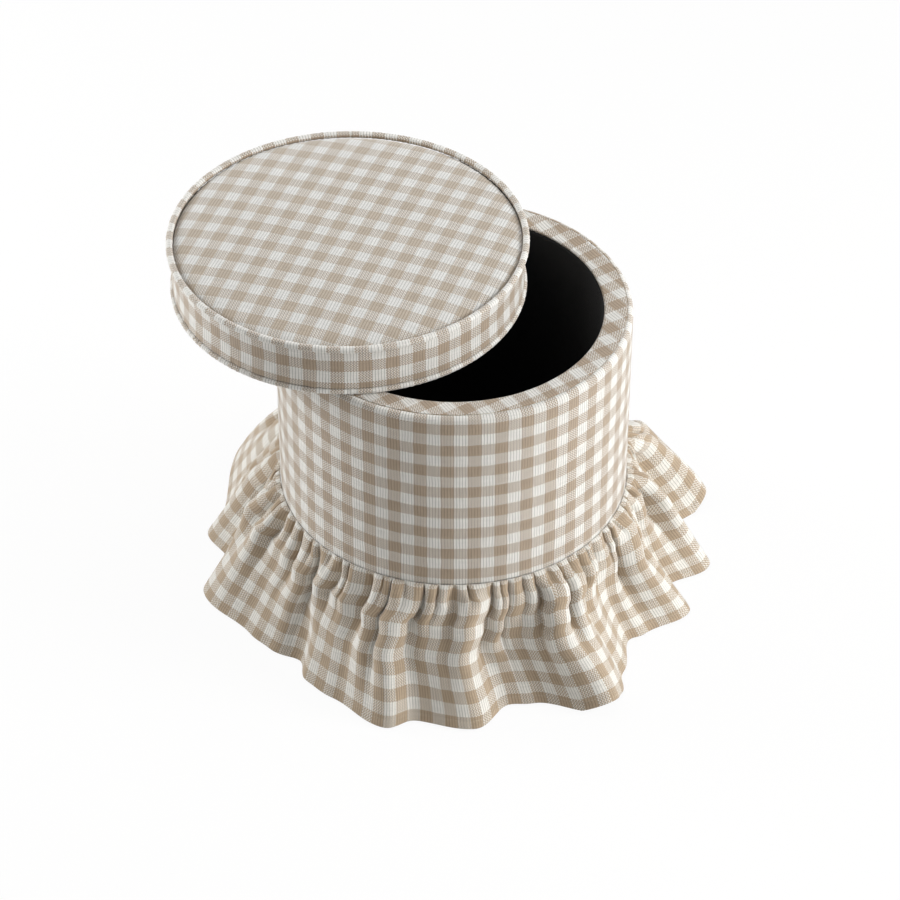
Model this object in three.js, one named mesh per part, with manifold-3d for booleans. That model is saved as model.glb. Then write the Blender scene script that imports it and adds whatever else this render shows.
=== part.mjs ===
// Round vanity stool with a storage well, a loose cushioned lid and a gathered skirt.
// Millimetres, +Z up, origin on the drum's axis at the floor, front of the stool towards -Y.

import * as THREE from 'three';
import { mergeVertices } from 'three/addons/utils/BufferGeometryUtils.js';
import Module from 'manifold-3d';

const wasm = await Module();
wasm.setup();

// Driving sizes of the drum
const drumRadius = 200;
const rimHeight = 378;
const seamHeight = 139;

// Driving sizes of the lid
const lidOverhang = 2.2;
const lidBandHeight = 50.5;
const lidCrown = 10;
const lidShiftLeft = 117.6;
const lidShiftBack = 40.6;
const lidTurn = -21;

// Driving sizes of the skirt
const skirtFlare = 100;
const hemClearance = 3;
const skirtCloth = 2;

// Board, cloth and foam thicknesses
const baseThickness = 12;
const ringThickness = 18;
const outerSkinThickness = 3;
const innerSkinThickness = 2;
const wallFoam = 6;
const rimFoam = 10;
const cloth = 1;
const dustCloth = 0.8;
const lidBoardThickness = 12;

// Clearances between pieces that touch
const gap = 0.3;
const cornerClearance = 0.5;

// Timber uprights
const postCount = 6;
const postWidth = 45;
const postDepth = 16;
const postPhase = 30;

// Wood screws through the base and the ring into the uprights
const screwLength = 40;
const screwRadius = 2;
const screwHeadRadius = 4.2;
const screwHeadDepth = 3;
const screwPoint = 4;

// Nail-on glides
const glideHeight = 5;
const glideRadius = 15;
const glideFaceRadius = 12;
const glideEdge = 2;
const glideFloor = 2.2;
const glideInset = 49;
const outerGlides = 4;
const nailLength = 12;
const nailRadius = 1.25;
const nailHeadRadius = 4;
const nailHeadThickness = 1.2;

// Rim cover and the turnings of the covers
const rimEdgeRadius = 6;
const rimInnerRadius = 3;
const rimTurnDown = 3.3;
const coverTurnUnder = 27;

// Welts and the shape of the cushion
const topWeltRadius = 4;
const bottomWeltRadius = 3.5;
const bottomWeltInset = 2;
const bandInset = 0.5;
const bandWaist = 1.2;
const cushionEdgeRise = 1.5;

// Fineness of the round pieces
const roundSteps = 60;
const smallSteps = 10;
const glideSteps = 20;
const weltSides = 8;
const edgeSteps = 2;

const degree = Math.PI / 180;
const up = new THREE.Vector3(0, 0, 1);

// Finishes
function finish(colour, roughness) {
  return new THREE.MeshStandardMaterial({ color: colour, roughness, metalness: 0 });
}

function metal(colour, roughness) {
  return new THREE.MeshStandardMaterial({ color: colour, roughness, metalness: 1 });
}

const gingham = 0xcfc2b2;
const blackLining = 0x111112;
const foamColour = 0xe8dfc4;
const boardColour = 0xb08a5e;
const timberColour = 0xcaa878;
const hardboardColour = 0x7a5537;
const cardColour = 0x8d8a84;

// A ring or disc from a closed profile of [radius, height] pairs in counter-clockwise order
function revolve(profile, steps = roundSteps) {
  const points = profile.map(([r, z]) => new THREE.Vector2(r, z));
  const onAxis = profile[0][0] === 0;
  if (!onAxis) points.push(points[0].clone());
  const lathe = new THREE.LatheGeometry(points, steps);
  lathe.rotateX(Math.PI / 2);
  return lathe;
}

// A plain tube or washer
function tube(inner, outer, low, high) {
  return revolve([[inner, low], [outer, low], [outer, high], [inner, high]]);
}

// A plain disc
function disc(radius, low, high, steps = roundSteps) {
  return revolve([[0, low], [radius, low], [radius, high], [0, high]], steps);
}

// Points on an arc of a profile, from one angle to another in degrees
function arc(r, z, radius, from, to, steps) {
  const points = [];
  for (let i = 0; i <= steps; i += 1) {
    const angle = (from + (to - from) * i / steps) * degree;
    points.push([r + radius * Math.cos(angle), z + radius * Math.sin(angle)]);
  }
  return points;
}

// Cutting one closed geometry by others
function toSolid(geometry) {
  const bare = geometry.clone();
  bare.deleteAttribute('normal');
  bare.deleteAttribute('uv');
  const welded = mergeVertices(bare);
  const vertProperties = new Float32Array(welded.attributes.position.array);
  const triVerts = new Uint32Array(welded.index.array);
  return new wasm.Manifold(new wasm.Mesh({ numProp: 3, vertProperties, triVerts }));
}

function cutBy(geometry, cutters) {
  let solid = toSolid(geometry);
  for (const cutter of cutters) solid = solid.subtract(toSolid(cutter));
  const mesh = solid.getMesh();
  const result = new THREE.BufferGeometry();
  result.setAttribute('position', new THREE.BufferAttribute(mesh.vertProperties, 3));
  result.setIndex(new THREE.BufferAttribute(mesh.triVerts, 1));
  result.computeVertexNormals();
  return result;
}

const stool = new THREE.Group();
const drum = new THREE.Group();
const lid = new THREE.Group();
stool.add(drum, lid);

function piece(group, name, geometry, material) {
  const mesh = new THREE.Mesh(geometry, material);
  mesh.name = name;
  group.add(mesh);
  return mesh;
}

// Radii of the wall, from the side cover in to the lining
const coverInner = drumRadius - cloth;
const foamOuter = coverInner - gap;
const foamInner = foamOuter - wallFoam;
const outerSkinOuter = foamInner - gap;
const outerSkinInner = outerSkinOuter - outerSkinThickness;
const frameOuter = outerSkinInner - gap;
const postCorner = frameOuter - cornerClearance;
const postOuterFace = Math.sqrt(postCorner ** 2 - (postWidth / 2) ** 2);
const frameInner = postOuterFace - postDepth;
const innerSkinOuter = frameInner - gap;
const innerSkinInner = innerSkinOuter - innerSkinThickness;
const liningOuter = innerSkinInner - gap;
const wellRadius = liningOuter - cloth;

// Heights of the drum, from the floor up
const dustLow = glideHeight;
const dustHigh = dustLow + dustCloth;
const turnLow = dustHigh + gap;
const turnHigh = turnLow + cloth;
const baseLow = turnHigh + gap;
const baseHigh = baseLow + baseThickness;
const wallLow = baseHigh + gap;
const rimCoverUnder = rimHeight - cloth;
const rimFoamHigh = rimCoverUnder - gap;
const rimFoamLow = rimFoamHigh - rimFoam;
const ringHigh = rimFoamLow - gap;
const ringLow = ringHigh - ringThickness;
const postHigh = ringLow - gap;

// Wood screw: countersunk head at height zero, point upwards
function screw(grow = 0) {
  return revolve([
    [0, -grow],
    [screwHeadRadius + grow, -grow],
    [screwRadius + grow, screwHeadDepth + grow],
    [screwRadius + grow, screwLength - screwPoint + grow],
    [0, screwLength + grow],
  ], smallSteps);
}

// Nail of a glide: head at height zero, point upwards
function nail(grow = 0) {
  return revolve([
    [0, -grow],
    [nailHeadRadius + grow, -grow],
    [nailHeadRadius + grow, nailHeadThickness + grow],
    [nailRadius + grow, nailHeadThickness + grow],
    [nailRadius + grow, nailLength + grow],
    [0, nailLength + grow],
  ], smallSteps);
}

// Places of the uprights and of the screws in each of them
const postMiddle = (postOuterFace + frameInner) / 2;

function postAngle(index) {
  return (postPhase + index * 360 / postCount) * degree;
}

function atPost(geometry, index, height) {
  const angle = postAngle(index);
  return geometry.translate(postMiddle * Math.cos(angle), postMiddle * Math.sin(angle), height);
}

function baseScrewAt(index, grow = 0) {
  return atPost(screw(grow), index, baseLow);
}

function ringScrewAt(index, grow = 0) {
  return atPost(screw(grow).rotateX(Math.PI), index, ringHigh);
}

// Places of the glides: one in the middle and the rest on a circle
const nailLow = glideFloor + gap;
const glideCircle = frameOuter - glideInset;

function glidePlace(index) {
  if (index === 0) return [0, 0];
  const angle = (index - 1) * 2 * Math.PI / outerGlides;
  return [glideCircle * Math.cos(angle), glideCircle * Math.sin(angle)];
}

function atGlide(geometry, index, height) {
  const [x, y] = glidePlace(index);
  return geometry.translate(x, y, height);
}

const postIndexes = Array.from({ length: postCount }, (_, i) => i);
const glideIndexes = Array.from({ length: outerGlides + 1 }, (_, i) => i);

// Base board of the drum, with its screw and nail holes
const baseHoles = [
  ...postIndexes.map((i) => baseScrewAt(i, gap)),
  ...glideIndexes.map((i) => atGlide(nail(gap), i, nailLow)),
];
const baseBlank = disc(frameOuter, baseLow, baseHigh);
piece(drum, 'base_board', cutBy(baseBlank, baseHoles), finish(boardColour, 0.8));

// Timber uprights between the base board and the top ring
for (const i of postIndexes) {
  const blank = new THREE.BoxGeometry(postDepth, postWidth, postHigh - wallLow);
  blank.rotateZ(postAngle(i));
  atPost(blank, i, (postHigh + wallLow) / 2);
  const post = cutBy(blank, [baseScrewAt(i, gap), ringScrewAt(i, gap)]);
  piece(drum, `upright_${i + 1}`, post, finish(timberColour, 0.7));
}

// Plywood ring on top of the uprights
const ringBlank = tube(frameInner, frameOuter, ringLow, ringHigh);
const ringHoles = postIndexes.map((i) => ringScrewAt(i, gap));
piece(drum, 'top_ring', cutBy(ringBlank, ringHoles), finish(timberColour, 0.7));

// Screws that hold each upright at its two ends
for (const i of postIndexes) {
  piece(drum, `base_screw_${i + 1}`, baseScrewAt(i), metal(0xb9b29a, 0.4));
  piece(drum, `ring_screw_${i + 1}`, ringScrewAt(i), metal(0xb9b29a, 0.4));
}

// Hardboard skin round the frame and card skin round the well
const outerSkin = tube(outerSkinInner, outerSkinOuter, baseLow, ringHigh);
piece(drum, 'outer_skin', outerSkin, finish(hardboardColour, 0.8));
const innerSkin = tube(innerSkinInner, innerSkinOuter, wallLow, ringHigh);
piece(drum, 'inner_skin', innerSkin, finish(cardColour, 0.9));

// Foam round the wall
const wallPadding = tube(foamInner, foamOuter, baseLow, ringHigh);
piece(drum, 'wall_padding', wallPadding, finish(foamColour, 0.95));

// Side cover from the skirt seam up over the rim's outer edge to the seam on its top
const strip = rimEdgeRadius - cloth;
const edgeCentre = drumRadius - rimEdgeRadius;
const cornerHeight = rimHeight - rimEdgeRadius;
const sideCover = revolve([
  [coverInner, seamHeight],
  [drumRadius, seamHeight],
  ...arc(edgeCentre, cornerHeight, rimEdgeRadius, 0, 90, edgeSteps),
  ...arc(edgeCentre, cornerHeight, strip, 90, 0, edgeSteps),
]);
piece(drum, 'side_cover', sideCover, finish(gingham, 0.9));

// Lower cover behind the skirt, turned under the base board
const turnInner = drumRadius - coverTurnUnder;
const lowerCover = revolve([
  [turnInner, turnLow],
  [drumRadius, turnLow],
  [drumRadius, seamHeight - gap],
  [coverInner, seamHeight - gap],
  [coverInner, turnHigh],
  [turnInner, turnHigh],
]);
piece(drum, 'lower_cover', lowerCover, finish(gingham, 0.9));

// Rounded foam on the ring, and the bias strip over its top and inner edge
const padCorner = strip - gap;
const innerStrip = rimInnerRadius - cloth;
const innerCorner = innerStrip - gap;
const padOuter = drumRadius - cloth - gap;
const padInner = wellRadius + cloth + gap;
const rimPadding = revolve([
  [padInner, rimFoamLow],
  [padOuter, rimFoamLow],
  ...arc(padOuter - padCorner, rimFoamHigh - padCorner, padCorner, 0, 90, edgeSteps),
  ...arc(padInner + innerCorner, rimFoamHigh - innerCorner, innerCorner, 90, 180, edgeSteps),
]);
piece(drum, 'rim_padding', rimPadding, finish(foamColour, 0.95));

const stripLow = rimHeight - rimTurnDown;
const rimSeamRadius = edgeCentre - gap;
const innerHeight = rimHeight - rimInnerRadius;
const rimCover = revolve([
  [wellRadius, stripLow],
  [wellRadius + cloth, stripLow],
  ...arc(wellRadius + rimInnerRadius, innerHeight, innerStrip, 180, 90, edgeSteps),
  [rimSeamRadius, rimCoverUnder],
  [rimSeamRadius, rimHeight],
  ...arc(wellRadius + rimInnerRadius, innerHeight, rimInnerRadius, 90, 180, edgeSteps),
]);
piece(drum, 'rim_cover', rimCover, finish(gingham, 0.9));

// Black lining of the well
const liningWall = tube(wellRadius, liningOuter, wallLow, stripLow - gap);
piece(drum, 'lining_wall', liningWall, finish(blackLining, 0.85));
const liningFloor = disc(wellRadius - gap, wallLow, wallLow + cloth);
piece(drum, 'lining_floor', liningFloor, finish(blackLining, 0.85));

// Gathered skirt: a closed cloth shell whose hem stands out in uneven flutes.
// Each row is an azimuth in degrees, counted from the front towards +X, and the hem's
// radius there as a share of the hem radius: high on a flute's crest, low in a fold.
const fluteShares = [
  [-171, 0.98], [-161, 0.87], [-150, 1.00], [-139, 0.88], [-127.4, 1.056], [-104, 0.95],
  [-98.5, 0.985], [-88, 0.884], [-78, 0.995], [-60, 0.90], [-52.7, 0.881], [-44, 0.834],
  [-38.7, 0.90], [-30, 0.92], [-14.5, 0.995], [-9.2, 0.93], [5, 0.97], [14, 0.86],
  [20, 0.88], [36, 1.07], [42, 0.924], [54.7, 0.825], [58.3, 0.86], [71, 0.97],
  [78, 0.852], [87, 1.01], [98.7, 0.816], [108.3, 1.066], [115.3, 1.04], [123, 0.95],
  [137, 1.01], [147, 0.88], [157, 0.99], [172, 0.87],
];
const hemRadius = drumRadius + skirtFlare;
const skirtTop = seamHeight - gap;
const skirtTopRadius = drumRadius + gap + skirtCloth;
const skirtLength = Math.hypot(skirtTop - hemClearance, hemRadius - skirtTopRadius);
const skirtSteps = 104;
const skirtRowShares = [0, 0.14, 0.34, 0.64, 1];
const fluteGrowthPower = 1.8;
const leastSinkShare = 0.25;
const meanHemShare = 0.93;

// Share of the hem radius at an azimuth, eased between the rows of the table
function hemShare(azimuth) {
  const count = fluteShares.length;
  const here = azimuth < fluteShares[0][0] ? azimuth + 360 : azimuth;
  const next = fluteShares.findIndex(([place]) => place > here);
  const [to, high] = next < 0 ? [fluteShares[0][0] + 360, fluteShares[0][1]] : fluteShares[next];
  const [from, low] = fluteShares[(next < 0 ? count : next) - 1];
  const t = (here - from) / (to - from);
  return low + (high - low) * (1 - Math.cos(Math.PI * t)) / 2;
}

// The line that the cloth follows at an azimuth, as [radius, height] pairs from the seam
// to the hem. The flutes deepen early, each row sinks by what its slope leaves of the
// cloth's length, and the hem is lifted off the floor where a flute carries it far out.
function skirtLine(azimuth) {
  const meanFlare = hemRadius * meanHemShare - skirtTopRadius;
  const flute = (hemShare(azimuth) - meanHemShare) * hemRadius;
  const radii = skirtRowShares.map((drop) => {
    const growth = 1 - (1 - drop) ** fluteGrowthPower;
    return skirtTopRadius + meanFlare * drop + flute * growth;
  });
  const sinks = radii.slice(1).map((radius, row) => {
    const step = skirtLength * (skirtRowShares[row + 1] - skirtRowShares[row]);
    const steepest = step ** 2 - (radius - radii[row]) ** 2;
    return Math.sqrt(Math.max((step * leastSinkShare) ** 2, steepest));
  });
  const reach = hemRadius * hemShare(azimuth) - skirtTopRadius;
  const hemHeight = Math.max(hemClearance, skirtTop - Math.sqrt(skirtLength ** 2 - reach ** 2));
  const fit = (skirtTop - hemHeight) / sinks.reduce((sum, sink) => sum + sink, 0);
  let height = skirtTop;
  return radii.map((radius, row) => {
    if (row > 0) height -= sinks[row - 1] * fit;
    return [radius, height];
  });
}

// A point of the skirt's cloth on its outer or inner face
function skirtPoint(azimuth, [radius, height], inset) {
  const angle = (azimuth - 90) * degree;
  const reach = radius - inset;
  return [reach * Math.cos(angle), reach * Math.sin(angle), height];
}

function skirtGeometry() {
  const rows = skirtRowShares.length;
  const azimuths = Array.from({ length: skirtSteps }, (_, i) => -180 + i * 360 / skirtSteps);
  const lines = azimuths.map(skirtLine);
  const positions = [];
  for (const inset of [0, skirtCloth]) {
    for (let row = 0; row < rows; row += 1) {
      lines.forEach((line, i) => positions.push(...skirtPoint(azimuths[i], line[row], inset)));
    }
  }
  const at = (side, row, i) => (side * rows + row) * skirtSteps + i % skirtSteps;
  const faces = [];
  const quad = (a, b, c, d) => faces.push(a, b, c, a, c, d);
  for (let i = 0; i < skirtSteps; i += 1) {
    for (let row = 0; row + 1 < rows; row += 1) {
      quad(at(0, row, i), at(0, row + 1, i), at(0, row + 1, i + 1), at(0, row, i + 1));
      quad(at(1, row, i), at(1, row, i + 1), at(1, row + 1, i + 1), at(1, row + 1, i));
    }
    const hem = rows - 1;
    quad(at(0, hem, i), at(1, hem, i), at(1, hem, i + 1), at(0, hem, i + 1));
    quad(at(0, 0, i), at(0, 0, i + 1), at(1, 0, i + 1), at(1, 0, i));
  }
  const geometry = new THREE.BufferGeometry();
  geometry.setAttribute('position', new THREE.Float32BufferAttribute(positions, 3));
  geometry.setIndex(faces);
  geometry.computeVertexNormals();
  return geometry;
}

piece(drum, 'ruffle_skirt', skirtGeometry(), finish(gingham, 0.9));

// Black dust cloth under the base, pierced by the nails of the glides
const dustRadius = foamInner;
const dustHoles = glideIndexes.map((i) => atGlide(nail(gap), i, nailLow));
const dustBlank = disc(dustRadius, dustLow, dustHigh);
piece(drum, 'dust_cover', cutBy(dustBlank, dustHoles), finish(blackLining, 0.95));

// Glides that the stool stands on, each on its nail
for (const i of glideIndexes) {
  const top = dustLow - gap;
  const cap = revolve([
    [0, 0],
    [glideFaceRadius, 0],
    [glideRadius, glideEdge],
    [glideRadius, top],
    [nailHeadRadius + gap, top],
    [nailHeadRadius + gap, glideFloor],
    [0, glideFloor],
  ], glideSteps);
  piece(drum, `glide_${i + 1}`, atGlide(cap, i, 0), finish(0x2a2624, 0.5));
  piece(drum, `glide_nail_${i + 1}`, atGlide(nail(), i, nailLow), metal(0xc9c9c6, 0.35));
}

// Heights and radii of the lid, from its underside
const lidRadius = drumRadius + lidOverhang;
const bottomWeltHeight = bottomWeltRadius;
const bandLow = 2 * bottomWeltRadius + gap;
const bandHigh = bandLow + lidBandHeight;
const topWeltHeight = bandHigh + gap + topWeltRadius;
const topWeltCentre = lidRadius - topWeltRadius;
const bottomWeltCentre = lidRadius - bottomWeltInset - bottomWeltRadius;
const bandOuter = topWeltCentre - bandInset;
const bandInner = bandOuter - cloth;
const boardRadius = bottomWeltCentre - bottomWeltRadius - gap;
const boardLow = cloth + gap;
const boardHigh = boardLow + lidBoardThickness;

// A welt: fabric wrapped round a cord, as one ring
function welt(centre, height, radius) {
  const section = arc(centre, height, radius, 0, 360, weltSides);
  return revolve(section.slice(0, weltSides));
}

piece(lid, 'lid_bottom_welt', welt(bottomWeltCentre, bottomWeltHeight, bottomWeltRadius),
  finish(gingham, 0.9));
piece(lid, 'lid_top_welt', welt(topWeltCentre, topWeltHeight, topWeltRadius),
  finish(gingham, 0.9));

// Side band between the welts, drawn in a little at its waist
const waistHeight = (bandLow + bandHigh) / 2;
const sideBand = revolve([
  [bandInner, bandLow],
  [bandOuter, bandLow],
  [bandOuter - bandWaist, waistHeight],
  [bandOuter, bandHigh],
  [bandInner, bandHigh],
  [bandInner - bandWaist, waistHeight],
]);
piece(lid, 'lid_side_band', sideBand, finish(gingham, 0.9));

// Crown of the cushion: nearly flat in the middle, steeper towards the seam
const panelRadius = topWeltCentre - topWeltRadius - gap;
const panelEdgeHeight = topWeltHeight + cushionEdgeRise;
const crownShares = [1, 0.96, 0.88, 0.75, 0.56, 0.3];
const crownPower = 3;

function crownHeight(share) {
  return panelEdgeHeight + lidCrown * (1 - share ** crownPower);
}

function crownLine(drop) {
  return crownShares.map((share) => [(panelRadius - drop) * share, crownHeight(share) - drop]);
}

const topPanel = revolve([
  [0, crownHeight(0) - cloth],
  ...crownLine(cloth).reverse(),
  ...crownLine(0),
  [0, crownHeight(0)],
]);
piece(lid, 'lid_top_panel', topPanel, finish(gingham, 0.9));

// Foam of the cushion, capped over the edge of the board
const foamSide = bandInner - gap;
const foamDrop = cloth + gap;
const lidFoam = revolve([
  [0, boardHigh + gap],
  [boardRadius + gap, boardHigh + gap],
  [boardRadius + gap, bandLow + gap],
  [foamSide, bandLow + gap],
  [foamSide - bandWaist, waistHeight],
  [foamSide, bandHigh - topWeltRadius],
  ...crownLine(foamDrop),
  [0, crownHeight(0) - foamDrop],
]);
piece(lid, 'lid_foam', lidFoam, finish(foamColour, 0.95));

// Board that stiffens the lid, and the cloth that closes its underside
piece(lid, 'lid_board', disc(boardRadius, boardLow, boardHigh), finish(boardColour, 0.8));
piece(lid, 'lid_underside', disc(boardRadius, 0, cloth), finish(blackLining, 0.9));

// The lid lies askew on the rim, shifted to the left and back and turned
lid.position.set(-lidShiftLeft, lidShiftBack, rimHeight + gap);
lid.setRotationFromAxisAngle(up, lidTurn * degree);

export default stool;
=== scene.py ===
# A vanity stool: a gingham drum with a lined well, a gathered skirt round its foot, and a loose cushioned lid.

import math

import bpy
import numpy as np
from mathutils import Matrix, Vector


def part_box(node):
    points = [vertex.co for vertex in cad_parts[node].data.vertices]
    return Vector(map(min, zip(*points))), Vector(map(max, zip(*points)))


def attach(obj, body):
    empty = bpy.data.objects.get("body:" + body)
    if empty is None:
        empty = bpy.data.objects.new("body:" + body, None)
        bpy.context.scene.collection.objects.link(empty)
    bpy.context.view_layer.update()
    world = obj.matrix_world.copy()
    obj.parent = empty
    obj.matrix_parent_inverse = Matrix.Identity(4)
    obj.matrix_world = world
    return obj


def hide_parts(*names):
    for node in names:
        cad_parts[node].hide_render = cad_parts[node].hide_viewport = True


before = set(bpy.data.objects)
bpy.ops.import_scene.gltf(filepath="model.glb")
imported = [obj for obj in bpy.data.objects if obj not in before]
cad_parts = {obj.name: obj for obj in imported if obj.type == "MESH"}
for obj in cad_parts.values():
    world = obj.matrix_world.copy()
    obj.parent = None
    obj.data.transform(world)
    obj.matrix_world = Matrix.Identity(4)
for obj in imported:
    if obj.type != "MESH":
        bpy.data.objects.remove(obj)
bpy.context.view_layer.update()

mm = 0.001
whole_turn = 2 * math.pi

# CAMERA
# It stands in front of the stool, four metres from the rim's centre, and looks down on it.
# The long lens keeps the stool's sides nearly parallel, as in the photograph.
camera_place = Vector((0, -3149.64 * mm, 2843.72 * mm))
looks_down = math.radians(40.368)
looks_left = math.radians(0.075)


def in_scene(name, data):
    """A new object in the scene."""
    made = bpy.data.objects.new(name, data)
    bpy.context.scene.collection.objects.link(made)
    return made


camera_data = bpy.data.cameras.new("camera")
camera_data.lens = 143.653
camera_data.sensor_width = 36
camera = in_scene("camera", camera_data)
camera.location = camera_place
camera.rotation_euler = (math.pi / 2 - looks_down, 0, looks_left)
bpy.context.scene.camera = camera

# FLOOR AND LIGHT
# A pale floor, a white surround, and soft lamps on the right, the left, above and in front.
# What the camera and reflections see of the surround is plain white, and it lights the stool less.
floor_reach = 15
floor_drop = 0.3 * mm
floor_whitened = 0.94
surround_light = 0.25


def wire(tree, kind, sockets=None, **settings):
    """One shader node. Settings are its own properties, and sockets are values or other nodes' outputs."""
    made = tree.nodes.new(kind)
    for name, value in settings.items():
        setattr(made, name, value)
    for name, value in (sockets or {}).items():
        if isinstance(value, bpy.types.NodeSocket):
            tree.links.new(value, made.inputs[name])
        else:
            made.inputs[name].default_value = value
    return made


def wire_on(kind, sockets, **settings):
    """One shader node in the tree of the outputs that it takes."""
    tree = next(value.id_data for value in sockets.values() if isinstance(value, bpy.types.NodeSocket))
    return wire(tree, kind, sockets, **settings)


def maths(operation, first, second=0.0, third=0.0):
    """The result of one sum on values or outputs."""
    return wire_on("ShaderNodeMath", {0: first, 1: second, 2: third}, operation=operation).outputs[0]


def colour(red, green, blue):
    """A colour picked on a screen, from 0 to 255, as the shaders need it."""
    linear = [((c / 255 + 0.055) / 1.055) ** 2.4 if c > 10 else c / 255 / 12.92 for c in (red, green, blue)]
    return (*linear, 1.0)


def seen_directly(tree):
    """1 where the camera, a mirror or glass sees a surface, and 0 where it only lights others."""
    path = wire(tree, "ShaderNodeLightPath")
    glossy = maths("MAXIMUM", path.outputs["Is Camera Ray"], path.outputs["Is Glossy Ray"])
    return maths("MAXIMUM", glossy, path.outputs["Is Transmission Ray"])


floor_mesh = bpy.data.meshes.new("studio_floor")
floor_corners = [(x * floor_reach, y * floor_reach, -floor_drop) for x, y in ((-1, -1), (1, -1), (1, 1), (-1, 1))]
floor_mesh.from_pydata(floor_corners, [], [(0, 1, 2, 3)])
in_scene("studio_floor", floor_mesh)

floor_paint = bpy.data.materials.new("pale_floor")
floor_paint.use_nodes = True
tree = floor_paint.node_tree
tree.nodes.clear()
paint = wire(tree, "ShaderNodeBsdfDiffuse", {"Color": colour(236, 235, 233)})
glow = wire(tree, "ShaderNodeEmission", {"Color": (1, 1, 1, 1), "Strength": 1.0})
whitened = maths("MULTIPLY", seen_directly(tree), floor_whitened)
mixed = wire(tree, "ShaderNodeMixShader", {0: whitened, 1: paint.outputs[0], 2: glow.outputs[0]})
wire(tree, "ShaderNodeOutputMaterial", {"Surface": mixed.outputs[0]})
floor_mesh.materials.append(floor_paint)

surround = bpy.data.worlds.new("white_surround")
bpy.context.scene.world = surround
surround.use_nodes = True
tree = surround.node_tree
tree.nodes.clear()
strength = maths("MULTIPLY_ADD", seen_directly(tree), 1 - surround_light, surround_light)
backdrop = wire(tree, "ShaderNodeBackground", {"Color": (1, 1, 1, 1), "Strength": strength})
wire(tree, "ShaderNodeOutputWorld", {"Surface": backdrop.outputs[0]})

lamps = {  # where each lamp stands, how wide it is, and its power
    "lamp_right": ((2.56, -0.45, 1.4), 1.2, 76),
    "lamp_left": ((-2.4, 0.8, 1.0), 1.2, 56),
    "lamp_above": ((0.3, 0.6, 3.0), 1.6, 24),
    "lamp_front": ((1.2, -2.2, 1.0), 1.6, 5),
}
lamp_aim = Vector((0, 0, 0.25))
for name, (place, width, power) in lamps.items():
    lamp_data = bpy.data.lights.new(name, "AREA")
    lamp_data.size = width
    lamp_data.energy = power
    lamp = in_scene(name, lamp_data)
    lamp.location = place
    lamp.rotation_euler = (lamp_aim - Vector(place)).to_track_quat("-Z", "Y").to_euler()

bpy.context.scene.view_settings.view_transform = "Standard"

# BOARDS AND UPRIGHTS
# The drum stands on a round plywood board. Six softwood uprights carry a plywood ring under the rim,
# and the lid has its own plywood board. All of them are sawn, unfinished and hidden by the covers.
ply_thickness = 1.5 * mm
grain_length = 0.12
year_ring = 7 * mm


def new_group(name, inputs, outputs):
    """A shader node group with named sockets: its tree, its incoming sockets and its output node."""
    kinds = {"value": "NodeSocketFloat", "vector": "NodeSocketVector", "colour": "NodeSocketColor"}
    group = bpy.data.node_groups.new(name, "ShaderNodeTree")
    for way, sockets in (("INPUT", inputs), ("OUTPUT", outputs)):
        for label, kind in sockets.items():
            group.interface.new_socket(name=label, in_out=way, socket_type=kinds[kind])
    return group, group.nodes.new("NodeGroupInput").outputs, group.nodes.new("NodeGroupOutput")


def hand_out(group, exit_node, **results):
    """Joins results to a group's outputs. An underscore in a name stands for a space."""
    for label, output in results.items():
        group.links.new(output, exit_node.inputs[label.replace("_", " ")])


def use_group(tree, group, sockets):
    """A group placed in a material with its own values."""
    return wire(tree, "ShaderNodeGroup", sockets, node_tree=group)


def finish_of(name, roughness=0.6, **values):
    """A new material, its tree, and its shader with the values that are the same all over."""
    material = bpy.data.materials.new(name)
    material.use_nodes = True
    tree = material.node_tree
    shader = tree.nodes["Principled BSDF"]
    shader.inputs["Roughness"].default_value = roughness
    for label, value in values.items():
        shader.inputs[label.replace("_", " ")].default_value = value
    return material, tree, shader


def raise_by(tree, shader, height, distance, strength=1.0):
    """Turns a height into the shader's normal."""
    bump = wire(tree, "ShaderNodeBump", {"Height": height, "Distance": distance, "Strength": strength})
    tree.links.new(bump.outputs["Normal"], shader.inputs["Normal"])


def object_place(tree):
    """Where each spot lies on the piece itself, in metres."""
    return wire(tree, "ShaderNodeTexCoord").outputs["Object"]


def vector_maths(operation, first, second):
    """The result of one sum on vectors, axis by axis."""
    return wire_on("ShaderNodeVectorMath", {0: first, 1: second}, operation=operation).outputs[0]


def noise(vector, scale, detail=2.0, rough=0.5):
    """Smooth chance values from 0 to 1."""
    sockets = {"Vector": vector, "Scale": scale, "Detail": detail, "Roughness": rough}
    return wire_on("ShaderNodeTexNoise", sockets).outputs["Fac"]


def blend_colours(factor, first, second, kind="MIX"):
    """One colour from two."""
    sockets = {0: factor, 6: first, 7: second}
    return wire_on("ShaderNodeMix", sockets, data_type="RGBA", blend_type=kind).outputs[2]


def shaded(tone, shade):
    """A colour made darker or lighter by a value."""
    grey = wire_on("ShaderNodeCombineXYZ", {0: shade, 1: shade, 2: shade}).outputs[0]
    return blend_colours(1.0, tone, grey, "MULTIPLY")


def two_tones(tree, shader, share, first, second):
    """Gives a shader a colour between two, by a share that changes from spot to spot."""
    tree.links.new(blend_colours(share, first, second), shader.inputs["Base Color"])


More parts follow.
